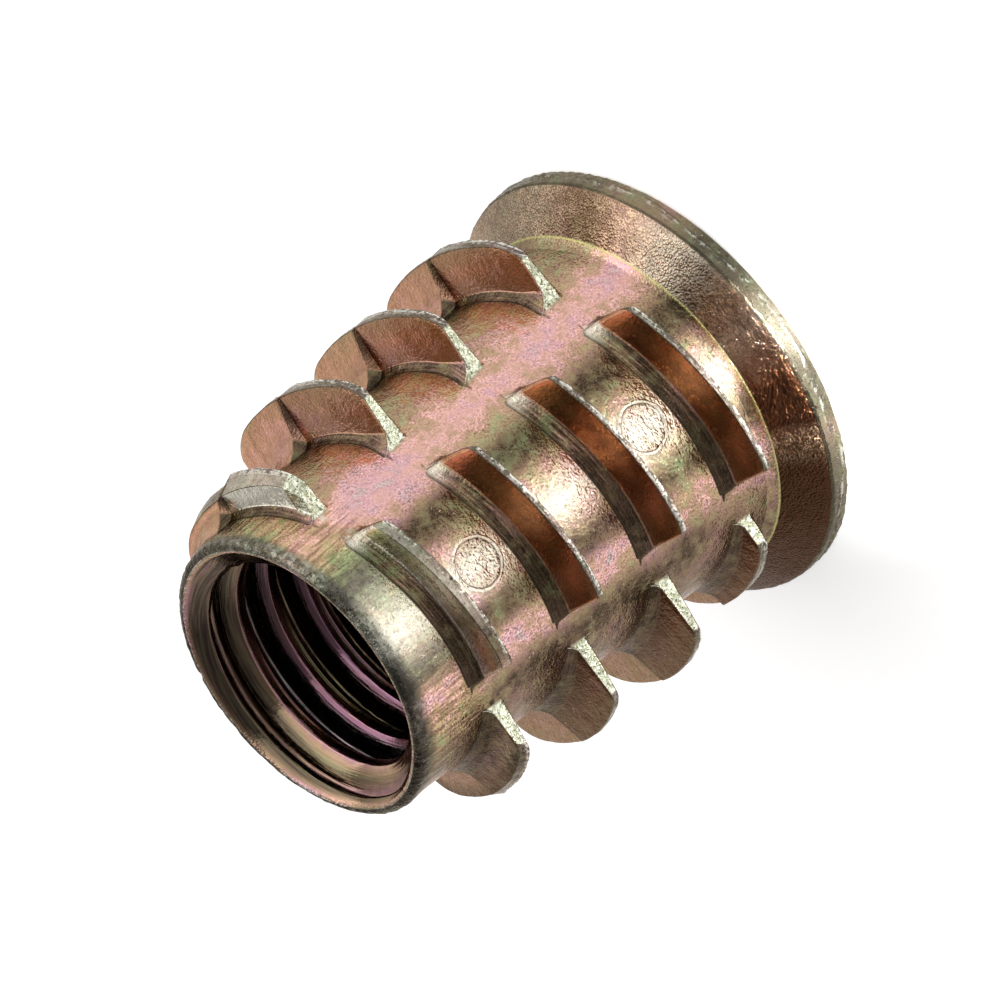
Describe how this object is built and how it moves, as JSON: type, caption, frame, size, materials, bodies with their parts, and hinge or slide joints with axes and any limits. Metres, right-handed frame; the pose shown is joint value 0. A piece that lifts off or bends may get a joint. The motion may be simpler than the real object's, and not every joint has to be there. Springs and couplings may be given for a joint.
{
  "type": "threaded insert",
  "caption": "Flanged cast threaded insert nut for wood: hex drive socket in the flange, machine thread down the middle, tapered body with a coarse thread of separate fins.",
  "frame": {"origin": "centre of the flange face, which the part stands on", "axes": "+Z along the bore, from the flange face to the tip; +X is the pull direction of one half of the casting die"},
  "size_m": [0.0132, 0.0132, 0.015],
  "materials": {
    "zinc_chromate": "zinc die casting with a yellow iridescent chromate finish, as cast, with a fine grain"
  },
  "bodies": {
    "root": {"threaded_insert": "zinc_chromate"}
  },
  "joints": []
}
